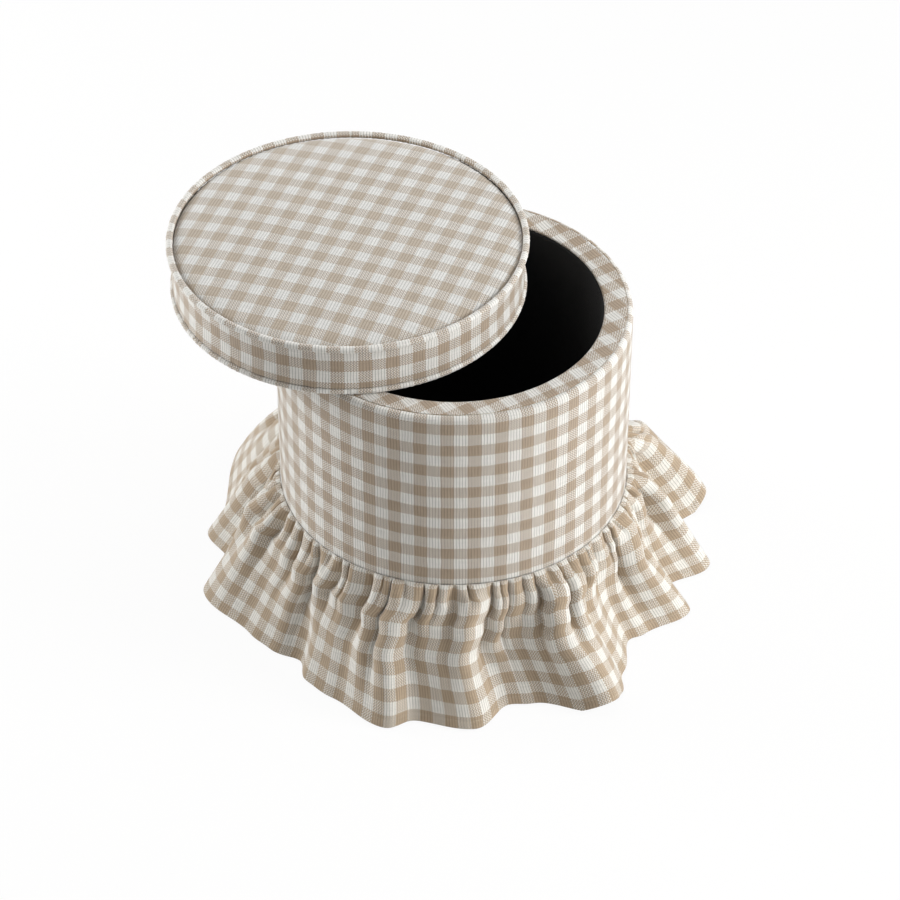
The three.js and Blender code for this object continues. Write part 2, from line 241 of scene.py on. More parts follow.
wood_grain, way_in, way_out = new_group(
    "wood_grain",
    {"Place": "vector", "Early Wood": "colour", "Late Wood": "colour"},
    {"Color": "colour", "Height": "value"},
)
wander = noise(way_in["Place"], 14.0, 3.0)
apart = wire_on("ShaderNodeSeparateXYZ", {0: way_in["Place"]})
shifted = maths("MULTIPLY_ADD", wander, 0.03, apart.outputs["Y"])
late = maths("POWER", maths("FRACT", maths("DIVIDE", shifted, year_ring)), 2.5)
fibres = noise(vector_maths("MULTIPLY", way_in["Place"], (1 / grain_length, 40.0, 40.0)), 30.0, 3.0)
grain_colour = blend_colours(late, way_in["Early Wood"], way_in["Late Wood"])
grain_colour = shaded(grain_colour, maths("MULTIPLY_ADD", fibres, 0.3, 0.85))
hand_out(wood_grain, way_out, Color=grain_colour, Height=fibres)


def paint_node(material, *names):
    """Gives CAD nodes a finish."""
    for name in names:
        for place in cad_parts[name].material_slots:
            place.material = material


def wood_finish(name, along, light, dark, plies=False):
    """Sawn wood whose grain runs along x, or along z where along says so. Plies show as layers at an edge."""
    material, tree, shader = finish_of(name, 0.62)
    place = object_place(tree)
    x, y, z = wire_on("ShaderNodeSeparateXYZ", {0: place}).outputs
    if along == "z":
        place = wire_on("ShaderNodeCombineXYZ", {0: z, 1: x, 2: y}).outputs[0]
    grain = use_group(tree, wood_grain, {"Place": place, "Early Wood": light, "Late Wood": dark})
    tone = grain.outputs["Color"]
    if plies:
        layer = maths("FRACT", maths("DIVIDE", z, 2 * ply_thickness))
        crossed = maths("GREATER_THAN", layer, 0.5)
        tone = blend_colours(maths("MULTIPLY", crossed, 0.45), tone, dark)
    tree.links.new(tone, shader.inputs["Base Color"])
    raise_by(tree, shader, grain.outputs["Height"], 0.2 * mm)
    return material


birch_light, birch_dark = colour(212, 184, 142), colour(168, 132, 92)
plywood = wood_finish("plywood", "x", birch_light, birch_dark, plies=True)
pine = wood_finish("pine", "z", colour(222, 190, 140), colour(190, 146, 92))
paint_node(plywood, "base_board", "lid_board", "top_ring")
paint_node(pine, *[f"upright_{i}" for i in range(1, 7)])

# WALL SKINS
# Hardboard is bent round the uprights outside, and grey upholstery card lines the well behind the cloth.
# Both are pressed from fibres, so their faces are mottled and slightly felted.
pressed_fibre, way_in, way_out = new_group(
    "pressed_fibre",
    {"Place": "vector", "Board": "colour", "Fleck": "colour"},
    {"Color": "colour", "Height": "value"},
)
clouds = noise(way_in["Place"], 60.0, 4.0)
hairs = noise(vector_maths("MULTIPLY", way_in["Place"], (1.0, 1.0, 3.0)), 900.0, 2.0)
felted = maths("MULTIPLY", clouds, hairs)
board_colour = blend_colours(maths("MULTIPLY", felted, 2.0), way_in["Board"], way_in["Fleck"])
hand_out(pressed_fibre, way_out, Color=board_colour, Height=felted)

for node, board, fleck in (
    ("outer_skin", colour(112, 76, 48), colour(152, 110, 74)),
    ("inner_skin", colour(128, 125, 119), colour(158, 155, 148)),
):
    material, tree, shader = finish_of(node + "_fibre", 0.75)
    fibre = use_group(tree, pressed_fibre, {"Place": object_place(tree), "Board": board, "Fleck": fleck})
    tree.links.new(fibre.outputs["Color"], shader.inputs["Base Color"])
    raise_by(tree, shader, fibre.outputs["Height"], 0.3 * mm)
    paint_node(material, node)

# SCREWS, GLIDES AND NAILS
# Countersunk wood screws join the boards to the uprights. The stool stands on five brown plastic glides,
# each held by a nail in its recess. The steel is zinc plated, and the plastic is scuffed where it slides.
zinc, tree, shader = finish_of("zinc_plated_steel", 0.34, Metallic=1.0)
spangle = noise(object_place(tree), 700.0, 3.0)
two_tones(tree, shader, spangle, colour(168, 170, 172), colour(206, 208, 210))
tree.links.new(maths("MULTIPLY_ADD", spangle, 0.25, 0.25), shader.inputs["Roughness"])
raise_by(tree, shader, spangle, 0.05 * mm)
paint_node(zinc, *[f"{kind}_screw_{i}" for kind in ("base", "ring") for i in range(1, 7)])
paint_node(zinc, *[f"glide_nail_{i}" for i in range(1, 6)])

glide_plastic, tree, shader = finish_of("brown_glide_plastic", 0.45)
scuffs = noise(vector_maths("MULTIPLY", object_place(tree), (1.0, 6.0, 1.0)), 400.0, 4.0, 0.6)
two_tones(tree, shader, scuffs, colour(74, 58, 46), colour(112, 96, 82))
tree.links.new(maths("MULTIPLY_ADD", scuffs, 0.4, 0.3), shader.inputs["Roughness"])
raise_by(tree, shader, scuffs, 0.05 * mm)
paint_node(glide_plastic, *[f"glide_{i}" for i in range(1, 6)])

# FOAM ROUND THE WALL AND ON THE RIM
# Thin upholstery foam is glued round the hardboard, and a thicker foam ring softens the rim.
# Both are cut from sheet and pressed slightly uneven by the tight covers.
foam_points = 360


def around(columns, start=-math.pi):
    """Angles round the stool, counter-clockwise with 0 at the front, and their sideways and backward shares.
    Every ring of points starts at the back, where the cloths have their joins."""
    angle = start + np.arange(columns) * whole_turn / columns
    return angle, np.sin(angle), -np.cos(angle)


def ripples(angle, counts, seed):
    """An uneven wave round the stool, mostly between -1 and 1, from plain waves with chance starts."""
    chance = np.random.RandomState(seed)
    waves = [np.sin(count * angle + chance.uniform(0, whole_turn)) for count in counts]
    return sum(waves) / math.sqrt(len(waves))


def piece_of_rows(name, points, cloth=None, closed_section=False, hubs=""):
    """A mesh from rows of points, where each row runs once round. Its outside is on the left of a walk down the rows.
    cloth gives each point's place on the flat cut in metres, with one column more than points. hubs closes end rows."""
    rows, columns = points.shape[:2]
    strips = rows if closed_section else rows - 1
    i, j = np.mgrid[0:strips, 0:columns]
    corners = [(i, j), (i + 1, j), (i + 1, j + 1), (i, j + 1)]
    faces = np.stack([(a % rows) * columns + b % columns for a, b in corners], axis=-1).reshape(-1, 4).tolist()
    vertices = points.reshape(-1, 3)
    flat = [] if cloth is None else [np.stack([cloth[a, b] for a, b in corners], axis=-2).reshape(-1, 2)]
    for end, row in (("first", 0), ("last", rows - 1)):
        if hubs in (end, "both"):
            vertices = np.vstack([vertices, points[row].mean(0)])
            for k in range(columns):
                pair = (k, (k + 1) % columns) if end == "first" else ((k + 1) % columns, k)
                faces.append((len(vertices) - 1, row * columns + pair[0], row * columns + pair[1]))
                if cloth is not None:
                    edge = [cloth[row, k], cloth[row, k + 1]]
                    flat.append(np.array([cloth[row, :-1].mean(0)] + (edge if end == "first" else edge[::-1])))
    mesh = bpy.data.meshes.new(name)
    mesh.from_pydata(vertices.tolist(), [], faces)
    if cloth is not None:
        layer = mesh.uv_layers.new(name="cloth")
        layer.data.foreach_set("uv", np.vstack(flat).astype(np.float32).ravel())
    mesh.shade_smooth()
    return in_scene(name, mesh)


def swept(profile, columns, wobble=None, start=-math.pi):
    """Rows of points from a profile of (radius, height) pairs, turned round the stool's axis."""
    profile = np.array(profile, float)
    _, sideways, backward = around(columns, start)
    radius = np.repeat(profile[:, :1], columns, 1)
    if wobble is not None:
        radius = radius + wobble
    height = np.repeat(profile[:, 1:2], columns, 1)
    return np.stack([radius * sideways, radius * backward, height], axis=-1)


def rounded(profile, corner):
    """A closed profile of (radius, height) pairs with its corners rounded."""
    steps = 4
    profile = [np.array(p, float) for p in profile]
    line = []
    for k, here in enumerate(profile):
        back = profile[k - 1] - here
        ahead = profile[(k + 1) % len(profile)] - here
        reach = min(corner, np.linalg.norm(back) / 2.01, np.linalg.norm(ahead) / 2.01)
        start = here + back / np.linalg.norm(back) * reach
        end = here + ahead / np.linalg.norm(ahead) * reach
        for step in range(steps + 1):
            t = step / steps
            line.append((1 - t) ** 2 * start + 2 * t * (1 - t) * here + t * t * end)
    return line


foam, tree, shader = finish_of("upholstery_foam", 0.85)
place = object_place(tree)
cells = wire_on("ShaderNodeTexVoronoi", {"Vector": place, "Scale": 700.0}).outputs["Distance"]
two_tones(tree, shader, noise(place, 25.0), colour(236, 226, 190), colour(224, 206, 158))
raise_by(tree, shader, cells, 0.5 * mm)


def box_profile(node, thickness=None):
    """The inner and outer radius and the lowest and highest height of a round CAD node."""
    low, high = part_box(node)
    outer = (high.x - low.x) / 2
    return outer - (thickness or outer), outer, low.z, high.z


def dressed(piece, material, body, node):
    """Gives a piece its finish and the body that it moves with, and hides the CAD node that it stands for."""
    piece.data.materials.append(material)
    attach(piece, body)
    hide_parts(node)


def foam_ring(name, node, thickness, corner, seed):
    """A foam ring in the place of its CAD node, pressed a little uneven."""
    inner, outer, low, high = box_profile(node, thickness)
    profile = rounded([(inner, low), (inner, high), (outer, high), (outer, low)], corner)
    outside = np.array([radius > (inner + outer) / 2 for radius, _ in profile])[:, None]
    dents = -0.15 * mm * (1 + ripples(around(foam_points)[0], (5, 9, 14, 23), seed)) * outside
    ring = piece_of_rows(name, swept(profile, foam_points, dents), closed_section=True)
    dressed(ring, foam, "drum", node)


foam_ring("wall_foam", "wall_padding", 6 * mm, 1.5 * mm, 3)
foam_ring("rim_foam", "rim_padding", 29.7 * mm, 4 * mm, 4)

# GINGHAM SIDE COVER OF THE DRUM
# A tube of gingham is pulled down over the padded wall, from the seam on top of the rim to the skirt's seam.
# The cloth is a plain weave of white and beige yarns in blocks of nine, uneven as in linen. Painted shade darkens
# the hollows between the yarns, and a fine line of painted shade lies beside every second warp yarn, in the gap
# that the loom's reed leaves.
check_repeat = 29.8 * mm
thread_width = check_repeat / 18
drum_radius = 200 * mm
skirt_seam = 139 * mm
cloth_thickness = 1 * mm
seam_gap = 0.3 * mm

linen_weave, way_in, way_out = new_group(
    "linen_weave",
    {"Cloth": "vector", "Thread": "value", "Slub": "value", "Gap Shade": "value", "Reed Gap Shade": "value"},
    {"Place": "vector", "Warp On Top": "value", "Shade": "value", "Height": "value"},
)


def blend_values(factor, first, second):
    """One value from two."""
    return wire_on("ShaderNodeMix", {0: factor, 2: first, 3: second}, data_type="FLOAT").outputs[0]


def stands_up(axis):
    """How high a yarn stands across its width, from 0 at its sides to 1 along its middle."""
    return maths("SINE", maths("MULTIPLY", maths("FRACT", axis), math.pi))


yarn_sway = 1.6 * mm
sway = wire_on("ShaderNodeTexNoise", {"Vector": way_in["Cloth"], "Scale": 45.0, "Detail": 1.0}).outputs["Color"]
sway = vector_maths("MULTIPLY", vector_maths("SUBTRACT", sway, (0.5, 0.5, 0.5)), (yarn_sway, yarn_sway, 0.0))
place = vector_maths("ADD", way_in["Cloth"], sway)
apart = wire_on("ShaderNodeSeparateXYZ", {0: place})
across = maths("DIVIDE", apart.outputs["X"], way_in["Thread"])
along = maths("DIVIDE", apart.outputs["Y"], way_in["Thread"])
crossing = maths("ADD", maths("FLOOR", across), maths("FLOOR", along))
warp_on_top = maths("FLOORED_MODULO", crossing, 2.0)
warp_streaks = noise(vector_maths("MULTIPLY", place, (1.0, 0.07, 0.0)), 600.0, 1.0)
weft_streaks = noise(vector_maths("MULTIPLY", place, (0.07, 1.0, 0.0)), 600.0, 1.0)
streaks = maths("SUBTRACT", blend_values(warp_on_top, weft_streaks, warp_streaks), 0.5)
mottle = maths("SUBTRACT", noise(place, 22.0, 2.0), 0.5)
shade = maths("MULTIPLY_ADD", streaks, way_in["Slub"], 1.0)
shade = maths("MULTIPLY_ADD", mottle, 0.07, shade)
# A fine line of painted shade in the gap that the loom's reed leaves beside every second warp yarn.
pair = maths("ABSOLUTE", maths("SINE", maths("MULTIPLY", across, math.pi / 2)))
reed_gap_shade = maths("POWER", maths("SUBTRACT", 1.0, pair), 2.0)
reed_gap_shade = maths("MULTIPLY", reed_gap_shade, way_in["Reed Gap Shade"])
shade = maths("MULTIPLY", shade, maths("SUBTRACT", 1.0, reed_gap_shade))
yarns = blend_values(warp_on_top, stands_up(along), stands_up(across))
height = maths("MULTIPLY_ADD", streaks, 0.8, yarns)
valley = maths("MULTIPLY_ADD", yarns, way_in["Gap Shade"], 1.0)
valley = maths("SUBTRACT", valley, way_in["Gap Shade"])
shade = maths("MULTIPLY", shade, valley)
hand_out(linen_weave, way_out, Place=place, Warp_On_Top=warp_on_top, Shade=shade, Height=height)

gingham_checks, way_in, way_out = new_group(
    "gingham_checks",
    {
        "Place": "vector",
        "Warp On Top": "value",
        "Shade": "value",
        "White Across": "value",
        "White Along": "value",
        "White Yarn": "colour",
        "Beige Yarn": "colour",
    },
    {"Color": "colour"},
)
beige_shows_through = 0.16
apart = wire_on("ShaderNodeSeparateXYZ", {0: way_in["Place"]})


def beige_stripe(axis, white_centre):
    """1 in the beige stripes along one axis of the cloth, and 0 in the white ones."""
    step = maths("DIVIDE", maths("SUBTRACT", apart.outputs[axis], way_in[white_centre]), check_repeat)
    from_white = maths("PINGPONG", maths("ABSOLUTE", step), 0.5)
    return maths("GREATER_THAN", from_white, 0.25)


beige_warp = beige_stripe("X", "White Across")
beige_weft = beige_stripe("Y", "White Along")
seen_yarn = blend_values(way_in["Warp On Top"], beige_weft, beige_warp)
either = maths("MAXIMUM", beige_warp, beige_weft)
seen_yarn = blend_values(beige_shows_through, seen_yarn, either)
yarn_colour = blend_colours(seen_yarn, way_in["White Yarn"], way_in["Beige Yarn"])
hand_out(gingham_checks, way_out, Color=shaded(yarn_colour, way_in["Shade"]))

linen_white = (236, 234, 228)
linen_beige = (178, 159, 137)


def cloth_place(tree):
    """Where each spot lies on the piece's flat cut, in metres."""
    return wire(tree, "ShaderNodeUVMap", uv_map="cloth").outputs["UV"]


def gingham(name, white_across, white_along, white=linen_white, beige=linen_beige):
    """The gingham of one piece. The two lengths place its pattern: where a white stripe's middle falls each way."""
    material, tree, shader = finish_of(name, 0.88, Sheen_Weight=0.4, Sheen_Roughness=0.5, Specular_IOR_Level=0.25)
    sockets = {"Cloth": cloth_place(tree), "Thread": thread_width, "Slub": 0.6, "Gap Shade": 0.25, "Reed Gap Shade": 0.48}
    weave = use_group(tree, linen_weave, sockets)
    sockets = {label: weave.outputs[label] for label in ("Place", "Warp On Top", "Shade")}
    sockets.update({"White Across": white_across, "White Along": white_along})
    sockets.update({"White Yarn": colour(*white), "Beige Yarn": colour(*beige)})
    checks = use_group(tree, gingham_checks, sockets)
    tree.links.new(checks.outputs["Color"], shader.inputs["Base Color"])
    raise_by(tree, shader, weave.outputs["Height"], 0.12 * mm, 0.5)
    return material


def thicken(piece, thickness):
    """Gives a sheet its thickness, on the side away from its face."""
    layer = piece.modifiers.new("thickness", "SOLIDIFY")
    layer.thickness = thickness
    layer.offset = -1


def angle_edges(columns):
    """The angles where a ring's columns begin, with the end of the last one."""
    return -math.pi + np.arange(columns + 1) * whole_turn / columns


def laid_out(across, down):
    """Places on a flat cut: across for each column, and down for each row."""
    return np.stack(np.broadcast_arrays(across[None, :], -down[:, None]), axis=-1)


def flat_cut(points, radius):
    """Where rows of points lie on a flat cut: round the stool from its front, and down from the first row."""
    drop = np.linalg.norm(np.diff(points, axis=0), axis=2).mean(1)
    return laid_out(angle_edges(points.shape[1]) * radius, np.concatenate([[0.0], np.cumsum(drop)]))


def roll_over(radius, height, roll, start, end, steps=7):
    """Points of a rounded edge, from one angle to another in degrees, as (radius, height) pairs."""
    angles = np.radians(np.linspace(start, end, steps))
    return [(radius + roll * math.cos(a), height + roll * math.sin(a)) for a in angles]


farthest_shift = 2.4 * mm


def seam_shift(angle):
    """How much farther out than at the front and left the seam on top of the rim lies, at the right and back."""
    direction = np.degrees(angle + math.pi) % 360 - 180
    to_right = np.clip((direction - 8) / 65, 0, 1)
    from_back = np.clip((direction + 150) / 50, 0, 1)
    eased = to_right * to_right * (3 - 2 * to_right) + 1 - from_back
    return farthest_shift * eased


drum_columns = 480
rim_height = 378 * mm
outer_roll = 6 * mm
edge_radius = drum_radius - outer_roll
seam_radius = 191.2 * mm
front_seam_sunk = 0.45 * mm
edge_lifted = 0.8
low_pull_reach = 22 * mm
wall_top = rim_height - outer_roll
side_profile = [(seam_radius, rim_height - 0.8 * mm), (seam_radius + 0.3 * mm, rim_height - 0.3 * mm)]
side_profile += [(seam_radius + 0.8 * mm, rim_height - 0.1 * mm)]
side_profile += roll_over(edge_radius, wall_top, outer_roll, 84, 0, 9)
side_profile += [(drum_radius, z) for z in np.linspace(wall_top - 4 * mm, skirt_seam + 3 * mm, 54)]
side_profile += [(drum_radius, skirt_seam)]
drum_angle = around(drum_columns)[0]
heights = np.array([p[1] for p in side_profile])
low_pull = np.clip((skirt_seam + low_pull_reach - heights) / low_pull_reach, 0, 1)[:, None] ** 2
low_pull *= np.clip((heights[:, None] - skirt_seam) / (5 * mm), 0, 1)
pulls = low_pull * (ripples(drum_angle, (61, 74, 83, 97), 11) - 0.7) * 0.28 * mm
swell = np.sin(np.pi * np.clip((heights - skirt_seam) / (wall_top - skirt_seam), 0, 1))[:, None]
softness = swell * ripples(drum_angle, (4, 7, 11, 17), 12) * 0.35 * mm - swell * 0.4 * mm
on_top = np.clip((edge_radius + 0.6 * mm - np.array([p[0] for p in side_profile])) / (3.4 * mm), 0, 1)[:, None]
side_points = swept(side_profile, drum_columns, pulls + softness + on_top * seam_shift(drum_angle))
flush = seam_shift(drum_angle) / farthest_shift
side_points[:3, :, 2] += edge_lifted * flush * (rim_height - heights[:3, None]) - front_seam_sunk * (1 - flush)
side_points[3, :, 2] -= front_seam_sunk / 3 * (1 - flush)
side_cloth = flat_cut(side_points, drum_radius)
side_length = -side_cloth[-1, 0, 1]
cloth_skew = 0.0154
side_cloth[..., 1] += skirt_seam + side_length + cloth_skew * side_cloth[..., 0]
side_cover = piece_of_rows("side_cover_cloth", side_points, side_cloth)
thicken(side_cover, 0.9 * cloth_thickness)
dressed(side_cover, gingham("gingham_side_cover", 8.1 * mm, 349 * mm), "drum", "side_cover")

# RIM COVER
# A flat ring of the same gingham, cut out in one with its grain turned, covers the foam on top of the rim.
# It is sewn to the side cover and, over the inner edge, to the black lining. A seam crosses it where it joins.
well_radius = 167.65 * mm
inner_roll = 1.8 * mm
lining_top = 374.7 * mm
rim_joint = math.radians(126)
rim_grain = math.radians(33.5)
rim_columns = 720
inner_edge = well_radius + inner_roll
rim_profile = [(well_radius + 0.7 * mm, lining_top + 0.1 * mm), (well_radius + 0.15 * mm, lining_top + 0.3 * mm)]
rim_profile += roll_over(inner_edge, rim_height - inner_roll, inner_roll, 180, 90)
rim_profile += [(r, rim_height) for r in np.linspace(inner_edge, seam_radius - 1.6 * mm, 14)[1:]]
rim_profile += [(seam_radius - 0.6 * mm, rim_height - 0.2 * mm), (seam_radius - 0.15 * mm, rim_height - 0.8 * mm)]
rim_profile = np.array(rim_profile)
rim_start = rim_joint - whole_turn


def plan_cut(points, middle=(0, 0), turn=0.0):
    """Where rows of points lie on a flat cut seen from above, turned by an angle."""
    turned = np.concatenate([points, points[:, :1]], axis=1)
    x, y = turned[..., 0] - middle[0], turned[..., 1] - middle[1]
    return np.stack([x * math.cos(turn) + y * math.sin(turn), -x * math.sin(turn) + y * math.cos(turn)], axis=-1)


rim_angle = around(rim_columns, rim_start)[0]
from_joint = np.abs((rim_angle - rim_joint + math.pi) % whole_turn - math.pi) * drum_radius
joint_dip = -0.9 * mm * np.exp(-((from_joint / (1.3 * mm)) ** 2))
crown = np.clip((rim_profile[:, 0] - well_radius) / (seam_radius - well_radius), 0, 1)[:, None]
rim_points = swept(rim_profile, rim_columns, crown * seam_shift(rim_angle), start=rim_start)
top_share = np.clip((rim_profile[:, 1] - lining_top) / (rim_height - lining_top), 0, 1)[:, None]
sag = -0.5 * mm * (2 * crown - 1) ** 2 * np.where(crown > 0.5, 0.1, 1)
sag = sag - 0.15 * mm * (1 - crown**2) * (1 - ripples(rim_angle, (5, 8, 13, 29), 13))
rim_points[..., 2] += top_share * (np.minimum(sag, 0) + joint_dip)
rim_points[-2:, :, 2] += edge_lifted * seam_shift(rim_angle) / farthest_shift * (rim_height - rim_profile[-2:, 1:2])
to_edge = np.cumsum(np.hypot(*np.diff(rim_profile, axis=0).T)[::-1])[::-1]
flat_radius = seam_radius - np.append(to_edge, 0.0)
flat_ring = swept([(r, 0.0) for r in flat_radius], rim_columns, start=rim_start)
rim_cover = piece_of_rows("rim_ring_cloth", rim_points, plan_cut(flat_ring, turn=rim_grain))
thicken(rim_cover, 0.8 * cloth_thickness)
dressed(rim_cover, gingham("gingham_rim", 16.7 * mm, -24.1 * mm), "drum", "rim_cover")

# BLACK LINING OF THE WELL
# A black cotton tube hangs on the card from the rim's inner seam to the floor of the well, and a round
# piece of the same cloth covers the base board. It is smooth, matt, and only slightly slack.
lining_columns = 360
floor_of_well = 19.7 * mm
black_cotton, tree, shader = finish_of("black_cotton", 0.9, Sheen_Weight=0.1, Specular_IOR_Level=0.15)
weave = use_group(tree, linen_weave, {"Cloth": cloth_place(tree), "Thread": 0.45 * mm})
# The yarn tops are lighter and the hollows between them darker: painted shade between the yarns.
two_tones(tree, shader, weave.outputs["Height"], colour(38, 38, 39), colour(46, 46, 47))
raise_by(tree, shader, weave.outputs["Height"], 0.08 * mm, 0.6)

lining_angle = around(lining_columns)[0]
lining_heights = np.linspace(floor_of_well, lining_top, 60)
slack = np.sin(np.pi * np.linspace(0, 1, 60))[:, None] * (1 + ripples(lining_angle, (6, 9, 15, 21), 14)) * 0.35 * mm
wall_points = swept([(well_radius, z) for z in lining_heights], lining_columns, -slack)
wall_lining = piece_of_rows("lining_wall_cloth", wall_points, flat_cut(wall_points, well_radius))
thicken(wall_lining, 0.8 * cloth_thickness)
dressed(wall_lining, black_cotton, "drum", "lining_wall")


def disc_points(radius, height, rows, columns, lift=None):
    """Rows of points of a round cloth, from near its middle to its edge."""
    radii = np.linspace(0, radius, rows + 1)[1:]
    points = swept([(r, height) for r in radii], columns)
    if lift is not None:
        points[..., 2] += lift
    return points


floor_radius = well_radius - 2.2 * mm
floor_radii = np.linspace(0, 1, 41)[1:][:, None]
wrinkles = 0.4 * mm * (1 + ripples(lining_angle, (3, 5, 8), 15)) * np.sin(np.pi * floor_radii)
floor_points = disc_points(floor_radius, floor_of_well + cloth_thickness, 40, lining_columns, wrinkles)
floor_lining = piece_of_rows("lining_floor_cloth", floor_points, plan_cut(floor_points), hubs="first")
thicken(floor_lining, 0.8 * cloth_thickness)
dressed(floor_lining, black_cotton, "drum", "lining_floor")

# LOWER COVER AND DUST COVER
# Behind the skirt a plain tube of gingham covers the wall, turned under the base board and stapled.
# A round black dust cloth, stapled over the turning, closes the underside.
lower_top = skirt_seam - seam_gap
lower_low = 6.1 * mm
turn_inner = 173 * mm
lower_profile = [(drum_radius, z) for z in np.linspace(lower_top, lower_low + 2.5 * mm, 24)]
lower_profile += roll_over(drum_radius - 2 * mm, lower_low + 2 * mm, 2 * mm, 0, -90, 6)
lower_profile += [(r, lower_low) for r in np.linspace(drum_radius - 4 * mm, turn_inner, 8)]
lower_points = swept(lower_profile, drum_columns)
lower_cloth = flat_cut(lower_points, drum_radius)
lower_cloth[..., 1] += lower_top
lower_cover = piece_of_rows("lower_cover_cloth", lower_points, lower_cloth)
thicken(lower_cover, 0.9 * cloth_thickness)
dressed(lower_cover, gingham("gingham_lower_cover", 8 * mm, 362 * mm), "drum", "lower_cover")

dust_radius = 192.7 * mm
dust_high = 5.8 * mm
dust_cloth, tree, shader = finish_of("black_dust_cloth", 0.95, Specular_IOR_Level=0.1)
fleece = noise(cloth_place(tree), 900.0, 4.0, 0.7)
two_tones(tree, shader, fleece, colour(18, 18, 19), colour(34, 34, 35))
raise_by(tree, shader, fleece, 0.15 * mm)
dust_points = disc_points(dust_radius, dust_high, 30, lining_columns)[::-1]
dust_cover = piece_of_rows("dust_cover_cloth", dust_points, plan_cut(dust_points), hubs="last")
thicken(dust_cover, 0.7 * mm)
dressed(dust_cover, dust_cloth, "drum", "dust_cover")

# GATHERED SKIRT
# A strip of gingham much longer than the drum's girth is gathered onto the seam and hangs to the floor.
# The close gathers merge on the way down into big uneven flutes, and the foot is a narrow stitched hem.
skirt_columns = 1440
skirt_drop = 167 * mm
hem_depth = 8.5 * mm
hem_clearance = 3 * mm
skirt_top_radius = 201.0 * mm
held_over_seam = 0.5 * mm
off_the_drum = 0.95 * mm
sewn_in, sewn_in_over = 0.85 * mm, 0.8 * mm
mean_hem_radius = 279 * mm
full_hem_radius = 300 * mm
flute_softness = 0.0027
gathers = 84
gather_depth_at_seam = 0.3 * mm
deepest_gather = 9 * mm
gathers_open_over = 11 * mm
small_gathers_reach = 27 * mm
puff_height, puff_over = 0.7 * mm, 3 * mm
flutes = [  # direction in degrees from the front, and the hem's share of its full radius there
    (-171, 0.98), (-161, 0.87), (-150, 1.00), (-139, 0.88), (-127.4, 1.056), (-104, 0.95),
    (-98.5, 0.985), (-88, 0.884), (-78, 0.995), (-60, 0.90), (-52.7, 0.881), (-44, 0.834),
    (-38.7, 0.90), (-30, 0.92), (-14.5, 0.995), (-9.2, 0.93), (5, 0.97), (14, 0.86),
    (20, 0.88), (35, 1.055), (40, 1.0), (43.5, 0.924), (54.7, 0.825), (58.3, 0.86), (71, 0.97), (78, 0.852),
    (87, 1.01), (98.7, 0.816), (108.3, 1.066), (115.3, 1.04), (123, 0.95), (137, 1.01),
    (147, 0.88), (157, 0.99), (172, 0.87),
]


def softened(values, width):
    """Values in a ring, averaged with their neighbours. width is the reach as a share of the ring."""
    waves = np.fft.rfftfreq(values.shape[-1], 1 / values.shape[-1])
    return np.fft.irfft(np.fft.rfft(values) * np.exp(-2 * (math.pi * waves * width) ** 2), values.shape[-1])


def hem_line(angle):
    """The hem's radius in each direction, eased between the flutes of the table."""
    table = np.array(flutes)
    places = np.radians(np.concatenate([table[-1:, 0] - 360, table[:, 0], table[:1, 0] + 360]))
    shares = np.concatenate([table[-1:, 1], table[:, 1], table[:1, 1]])
    found = np.clip(np.searchsorted(places, angle, "right"), 1, len(places) - 1)
    way = (angle - places[found - 1]) / (places[found] - places[found - 1])
    eased = (1 - np.cos(math.pi * np.clip(way, 0, 1))) / 2
    return full_hem_radius * (shares[found - 1] + (shares[found] - shares[found - 1]) * eased)


fine_angle = np.linspace(-math.pi, math.pi, 14400, endpoint=False)
fine_radius = softened(hem_line(fine_angle), flute_softness)
fine_x, fine_y = fine_radius * np.cos(fine_angle), fine_radius * np.sin(fine_angle)
fine_steps = np.hypot(np.roll(fine_x, -1) - fine_x, np.roll(fine_y, -1) - fine_y)
run_of_hem = np.concatenate([[0.0], np.cumsum(fine_steps)])
skirt_length = run_of_hem[-1]
share_round = np.arange(skirt_columns) / skirt_columns
hem_angle = np.interp(share_round * skirt_length, run_of_hem, np.append(fine_angle, math.pi))
hem_reach = np.interp(hem_angle, fine_angle, fine_radius) - mean_hem_radius
step_round = skirt_length / skirt_columns

near_seam = 0.12 * np.linspace(0, 1, 17) ** 1.4
skirt_rows = np.concatenate([near_seam, np.linspace(0.12, 0.94, 40)[1:], np.linspace(0.94, 1, 8)[1:]])
row_drop = skirt_rows * skirt_drop
fall, fallen = skirt_rows[:, None], row_drop[:, None]
cut_angle = whole_turn * share_round
jitter = ripples(cut_angle, (3, 7, 12, 19, 23, 31), 21) * 0.9


def fold_wave(count, pinch):
    """Uneven folds round the skirt: round ridges with a crease between each two, sharper where the pinch is less."""
    phase = whole_turn * count * share_round + jitter * count / gathers * 1.6
    return 2 * np.abs(np.sin(phase / 2)) ** pinch - 1


lives = 1 + 0.45 * ripples(cut_angle, (5, 9, 17, 29, 41), 22)
small_size = 1 + 0.3 * ripples(cut_angle, (11, 27, 38, 51), 23)
medium_size = 1 + 0.45 * ripples(cut_angle, (6, 13, 20, 33), 24)
small = small_size * np.exp(-((fallen / (small_gathers_reach * np.clip(lives, 0.35, 2))) ** 1.6))
medium = medium_size * (0.12 + np.clip(fall / 0.16, 0, 1)) * np.exp(-((fall / 0.75) ** 2.2))
broad = 0.35 * np.clip(fall / 0.3, 0, 1) * (1 + 0.5 * ripples(cut_angle, (4, 9, 15), 25))
folds = small * fold_wave(gathers, 0.9) + medium * fold_wave(gathers / 2, 1.1) + broad * fold_wave(gathers / 3, 1.6)

